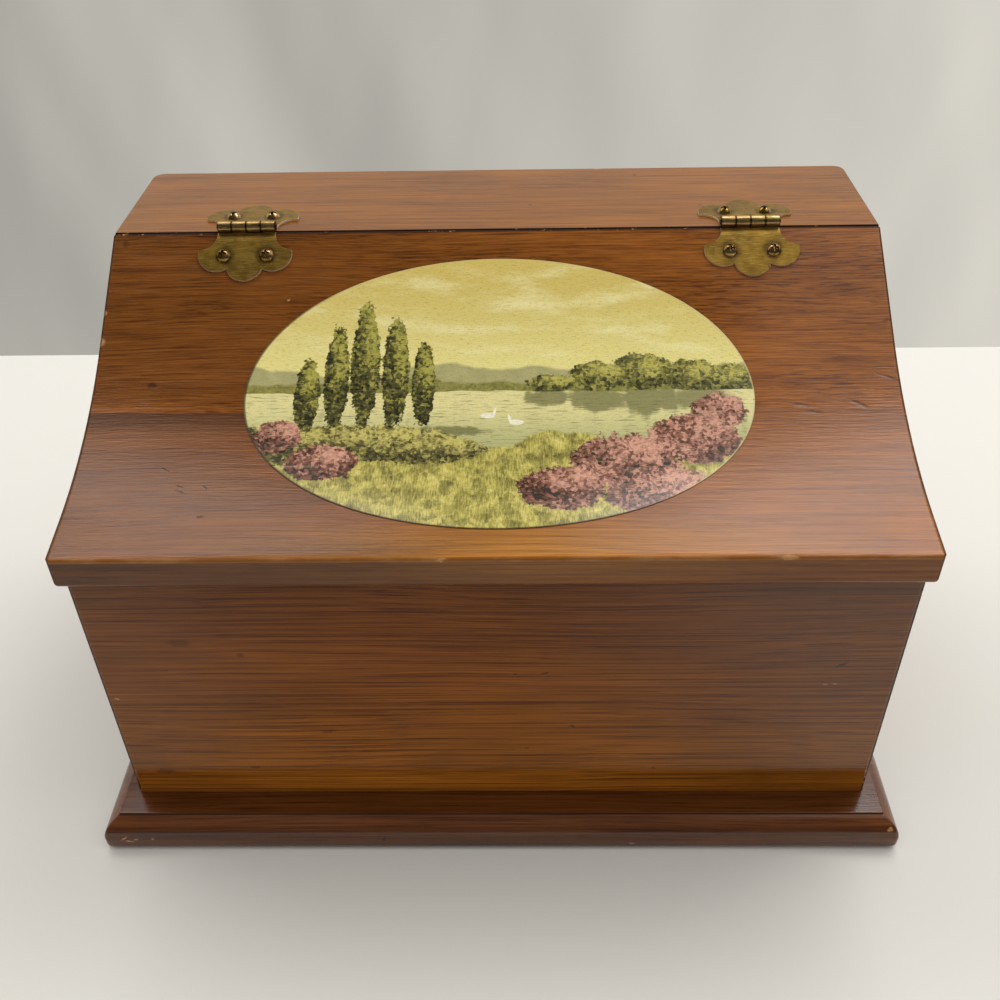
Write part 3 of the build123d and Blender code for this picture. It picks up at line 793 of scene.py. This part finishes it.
printTones = {
    "skyLow": (0.76, 0.67, 0.24), "skyHigh": (0.60, 0.46, 0.115), "clouds": (0.84, 0.77, 0.40),
    "farHill": ((0.28, 0.26, 0.10), (0.50, 0.45, 0.20)), "nearHill": ((0.09, 0.09, 0.02), (0.33, 0.30, 0.07)),
    "water": ((0.70, 0.62, 0.27), (0.42, 0.41, 0.17)), "ripple": (0.20, 0.20, 0.075),
    "mirrored": (0.11, 0.11, 0.03), "swan": (0.80, 0.75, 0.55),
    "grass": ((0.08, 0.07, 0.015), (0.26, 0.225, 0.045), (0.52, 0.44, 0.10), (0.74, 0.64, 0.22)),
    # leaves: in the dark, between, in the light
    "farTrees": ((0.035, 0.035, 0.010), (0.15, 0.14, 0.032), (0.36, 0.32, 0.07)),
    "point": ((0.035, 0.032, 0.010), (0.15, 0.13, 0.030), (0.40, 0.34, 0.09)),
    "poplars": ((0.018, 0.018, 0.006), (0.085, 0.080, 0.018), (0.30, 0.27, 0.05)),
    "roses": ((0.030, 0.016, 0.008), (0.20, 0.075, 0.045), (0.46, 0.23, 0.155)),
    "ink": (0.10, 0.075, 0.025), "yellowed": (0.60, 0.50, 0.20),
    "paleRim": (0.55, 0.47, 0.24), "paintedRimShadow": (0.06, 0.035, 0.015),
}


def ovalPicture():
    s, tones = Shader("printed oval"), printTones
    x, y, z = s.axes(s.place())
    tilt = math.radians(printLook["tilt"])
    across = x - printLook["middle"][0]
    up = (y - printLook["middle"][1]) * math.cos(tilt) + (z - printLook["middle"][2]) * math.sin(tilt)
    flat = s.vector(across, up, 0.0)
    ragged = (s.noise(flat, 4.5, 3.0, 0.65) - 0.5) * 1.1 + (s.noise(flat, 1.2, 2.0) - 0.5) * 0.6
    dab = s.axes(s.cells(flat, 1.15, out="Color"))[0]
    spray = s.axes(s.cells(flat, 3.1, out="Color"))[1]
    clump = s.noise(flat, 6.0, 4.0, 0.65)
    grit = s.noise(flat, 0.55, 2.0)
    # short engraved strokes
    etched = s.noise(s.vector(across / 2.4 + up / 1.6, up / 0.45, 6.0), 1.0, 2.0, 0.6)

    def mass(blobs):
        biggest = 0.0
        for middleX, middleY, halfX, halfY in blobs:
            blob = s.spot(flat, (middleX, middleY, 0.0), (halfX, halfY, 10.0))
            biggest = s.math("MAXIMUM", biggest, blob)
        return biggest

    def leaves(tone, kind, shades):
        # the light comes from the upper right
        blobs, (dark, middle, light) = printLook[kind], tones[shades]
        lit = mass([(x + w * 0.30, y + h * 0.42, w * 0.95, h * 0.8) for x, y, w, h in blobs])
        edge = s.rise(mass(blobs) + ragged * 0.5, 0.15, 0.21)
        shine = clump * 0.42 + dab * 0.34 + spray * 0.14 + lit * 0.34 - s.rise(etched, 0.52, 0.36) * 0.12
        brightest = tuple(min(part * 1.35, 1) for part in light)
        leaf = s.ramp(shine, [(0.30, dark), (0.50, middle), (0.66, light), (0.82, brightest)])
        return s.mix(edge, tone, leaf)

    cloudy = s.noise(s.vector(across / 34, up / 9, 2.0), 1.0, 4.0, 0.6)
    tone = s.mix(s.rise(up, 4.0, 55.0), tones["skyLow"], tones["skyHigh"])
    tone = s.mix(s.rise(cloudy, 0.45, 0.72) * 0.6, tone, tones["clouds"])
    farHill = s.noise(s.vector(across / 38, 7.1, 0.0), 1.0, 3.0) * 26 - 1
    hillTone = s.mix(clump, *tones["farHill"])
    tone = s.mix(s.rise(up, farHill + 0.8, farHill - 0.8), tone, hillTone)
    nearHill = s.noise(s.vector(across / 26, 2.4, 0.0), 1.0, 3.0) * 16 - 2
    nearTone = s.mix(clump * 0.6 + dab * 0.5, *tones["nearHill"])
    tone = s.mix(s.rise(up, nearHill + 0.8, nearHill - 0.6), tone, nearTone)
    tone = leaves(tone, "farTrees", "farTrees")
    # the lake, its ripples and what it mirrors
    ripple = s.noise(s.vector(across / 9, up / 0.7, 4.0), 1.0, 3.0, 0.6)
    water = s.mix(s.rise(up, -2.0, -24.0), *tones["water"])
    water = s.mix(s.rise(ripple, 0.46, 0.34) * 0.7, water, tones["ripple"])
    hanging = s.noise(s.vector(across / 5, up / 22, 7.0), 1.0, 2.0)
    mirror = mass(printLook["mirrored"]) + (ripple - 0.5) * 1.1 + (hanging - 0.5) * 0.9
    water = s.mix(s.rise(mirror, 0.14, 0.42) * 0.75, water, tones["mirrored"])
    shore = s.noise(s.vector(across / 22, 9.3, 0.0), 1.0, 3.0)
    tone = s.mix(s.rise(up, 0.5 + shore * 3, 0.1 + shore * 3), tone, water)
    bank = s.noise(s.vector(across / 30, 5.7, 0.0), 1.0, 4.0) * 26 - 33
    blade = s.noise(s.vector(across / 0.6, up / 3.2, 1.0), 1.0, 3.0, 0.6)
    grass = clump * 0.45 + blade * 0.45 + spray * 0.12
    grass = s.ramp(grass, list(zip((0.32, 0.46, 0.58, 0.72), tones["grass"])))
    tone = s.mix(s.rise(up, bank + 0.7, bank - 0.7), tone, grass)
    tone = leaves(tone, "point", "point")
    tone = leaves(tone, "poplars", "poplars")
    tone = leaves(tone, "roses", "roses")
    tone = leaves(tone, "leftRoses", "roses")
    for swanX, swanY, face in printLook["swans"]:
        body = s.spot(flat, (swanX, swanY, 0.0), (3.4, 1.5, 5.0))
        neck = s.spot(flat, (swanX + face * 2.6, swanY + 1.6, 0.0), (0.7, 2.3, 5.0), face * -0.25)
        tone = s.mix(s.rise(s.math("MAXIMUM", body, neck), 0.06, 0.30), tone, tones["swan"])
    tone = s.mix(s.rise(etched, 0.46, 0.30) * 0.30, tone, tones["ink"])
    tone = s.dimmed(tone, s.span(grit, 0.78, 1.22))
    streak = s.noise(s.vector(across / 30, up / 0.8, 8.0), 1.0, 3.0, 0.6)
    tone = s.mix(s.rise(streak, 0.56, 0.72) * 0.16, tone, tones["yellowed"])
    rimX, rimY = across / printLook["halfSize"][0], up / printLook["halfSize"][1]
    rim = s.math("SQRT", rimX * rimX + rimY * rimY)
    # the cut edge is pale at the top; at the lower left lies a painted shadow of the paper's edge
    lowerLeft = s.rise(across * 0.7 + up, 20.0, -30.0)
    tone = s.mix(s.rise(rim, 0.993, 0.997) * (1 - lowerLeft) * 0.6, tone, tones["paleRim"])
    tone = s.mix(s.rise(rim, 0.989, 0.997) * lowerLeft * 0.85, tone, tones["paintedRimShadow"])
    rough = 0.16 + s.rise(streak, 0.4, 0.7) * 0.10
    normal = s.bump(streak, 0.20, 0.00008)
    return s.finish({"Base Color": tone, "Roughness": rough, "Normal": normal, "Specular IOR Level": 0.5})


coat("oval_print", ovalPicture())
print("print finished")


# table, light and camera

stageLook = {
    "table": (0.74, 0.715, 0.655),
    "tableX": (-2.2, 2.2), "tableY": (-2.4, 0.30), "tableThick": 0.02,  # metres
    "backdrop": (0.53, 0.51, 0.46),
    "overhead": (0.92, 0.92, 0.91), "front": (0.40, 0.40, 0.41), "room": (0.08, 0.08, 0.08),
    "wall": (0.78, 0.76, 0.72),  # what the top board mirrors
    "aim": (0.0, -0.07, 0.16),
    # each soft lamp: place, width, height, watts
    "lamps": [((-0.66, 0.66, 1.59), 1.00, 0.50, 5.6), ((0.64, 0.65, 1.63), 1.05, 0.60, 10.5),
              ((0.85, -0.05, 1.50), 0.90, 1.00, 2.6)],
}


def table():
    x0, x1 = stageLook["tableX"]
    y0, y1 = stageLook["tableY"]
    mesh = bpy.data.meshes.new("table")
    corners = [(x0, y0, 0), (x1, y0, 0), (x1, y1, 0), (x0, y1, 0)]
    under = [(x, y, -stageLook["tableThick"]) for x, y, z in corners]
    sides = [(0, 4, 5, 1), (1, 5, 6, 2), (2, 6, 7, 3), (3, 7, 4, 0)]
    mesh.from_pydata(corners + under, [], [(0, 1, 2, 3), (7, 6, 5, 4)] + sides)
    top = bpy.data.objects.new("table", mesh)
    bpy.context.scene.collection.objects.link(top)
    s = Shader("pale table")
    speckle = s.span(s.noise(s.place(), 0.8, 2.0), 0.98, 1.02)
    tone = s.dimmed(s.vector(*stageLook["table"]), speckle)
    mesh.materials.append(s.finish({"Base Color": tone, "Roughness": 0.75}))


def studioWorld():
    world = bpy.data.worlds.new("studio")
    bpy.context.scene.world = world
    s = Shader("studio", world)
    x, y, z = s.axes(s.add("TexCoord", out="Generated"))
    ahead = s.math("MAXIMUM", s.math("ABSOLUTE", y), 0.3)
    sideways = s.math("MAXIMUM", s.math("MINIMUM", x / ahead, 0.7), -0.7)
    # the backdrop: painted shade of soft folds and finer creases, and painted light that makes it lighter to
    # the right
    folds = s.noise(s.vector(sideways * 4.5 + z * 1.6, 3.0, z * 1.1), 1.0, 2.0, 0.55) - 0.5
    crease = s.noise(s.vector(sideways * 13 - z * 4, 9.0, z * 3.5), 1.0, 1.0) - 0.5
    shade = 0.98 + folds * 0.75 + crease * 0.16 + sideways * 0.36
    cloth = s.dimmed(s.vector(*stageLook["backdrop"]), shade)
    seen = s.add("LightPath", out="Is Camera Ray")
    glossy = s.add("LightPath", out="Is Glossy Ray")
    clear = s.add("LightPath", out="Is Transmission Ray")
    hung = s.rise(z, 0.66, 0.56) * s.rise(y, 0.0, 0.3)  # the wall behind; above it the room is darker
    mirrored = s.mix(hung, stageLook["room"], stageLook["wall"])
    diffuse = s.mix(s.rise(z + y * 0.5, -0.1, 0.95), stageLook["front"], stageLook["overhead"])
    tone = s.mix(s.math("MINIMUM", glossy + clear, 1.0), diffuse, mirrored)
    tone = s.mix(seen, tone, cloth)
    light = s.add("Background", {}, {0: tone, 1: 1.0})
    s.add("OutputWorld", {}, {0: light})


def softLamps():
    for number, (place, width, height, watts) in enumerate(stageLook["lamps"], 1):
        data = bpy.data.lights.new("soft lamp %d" % number, "AREA")
        data.shape = "RECTANGLE"
        data.size, data.size_y = width, height
        data.energy = watts
        lamp = bpy.data.objects.new(data.name, data)
        lamp.location = place
        toward = Vector(stageLook["aim"]) - lamp.location
        lamp.rotation_euler = toward.to_track_quat("-Z", "Y").to_euler()
        bpy.context.scene.collection.objects.link(lamp)


# the photograph's own camera: focal length and picture width in pixels, angles in radians, place in metres
photoView = {
    "focal": 1080.11, "frame": 1000.0, "sensor": 36.0, "pitch": 0.6656, "yaw": -0.0242, "roll": 0.0213,
    "place": (0.00998, -0.38282, 0.39908),
}


def photoCamera():
    pitch, yaw, roll = photoView["pitch"], photoView["yaw"], photoView["roll"]
    ahead = Vector((math.sin(yaw) * math.cos(pitch), math.cos(yaw) * math.cos(pitch), -math.sin(pitch)))
    level = Vector((math.cos(yaw), -math.sin(yaw), 0))
    down = ahead.cross(level)
    right = math.cos(roll) * level + math.sin(roll) * down
    under = -math.sin(roll) * level + math.cos(roll) * down
    data = bpy.data.cameras.new("photo camera")
    data.sensor_fit = "HORIZONTAL"
    data.sensor_width = photoView["sensor"]
    data.lens = photoView["sensor"] * photoView["focal"] / photoView["frame"]
    camera = bpy.data.objects.new("photo camera", data)
    turn = Matrix((right, -under, -ahead)).transposed().to_4x4()
    camera.matrix_world = Matrix.Translation(photoView["place"]) @ turn
    bpy.context.scene.collection.objects.link(camera)
    bpy.context.scene.camera = camera


bpy.context.scene.view_settings.view_transform = "Standard"
table()
studioWorld()
softLamps()
photoCamera()
print("stage ready")
